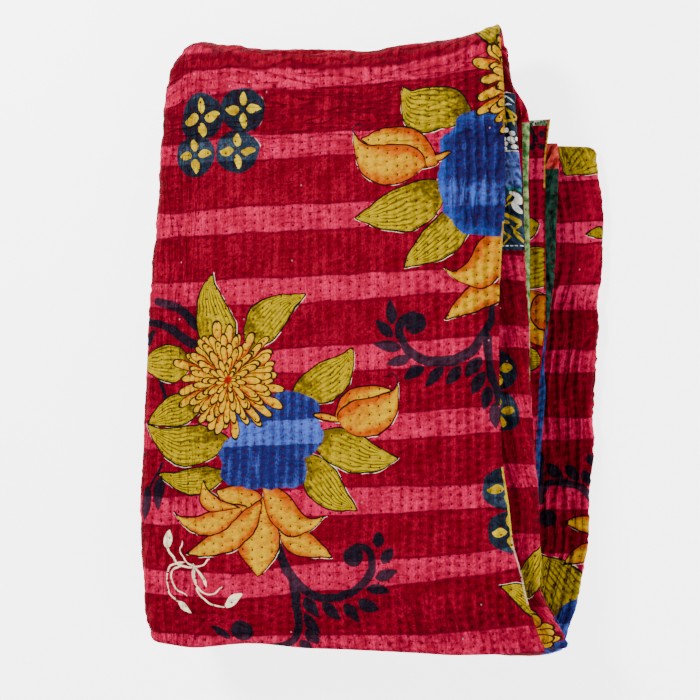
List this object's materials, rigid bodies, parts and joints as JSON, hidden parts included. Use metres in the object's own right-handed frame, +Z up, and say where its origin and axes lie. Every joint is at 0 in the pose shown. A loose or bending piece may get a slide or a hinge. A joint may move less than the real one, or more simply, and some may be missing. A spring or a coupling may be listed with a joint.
{
  "type": "folded kantha quilt",
  "caption": "Cotton kantha throw folded into a flat stack of layers, with rounded folds on one long side, stepped hems on the other and a turn at each end.",
  "frame": {"origin": "middle of the stack's box, on the surface that it lies on", "axes": "+Z up from the surface, +Y along the stack towards its far turn, +X towards the side with the hems"},
  "size_m": [0.4086, 0.5516, 0.0854],
  "materials": {
    "quilted_cotton": "matte"
  },
  "bodies": {
    "root": {"quilt": "quilted_cotton"}
  },
  "joints": []
}
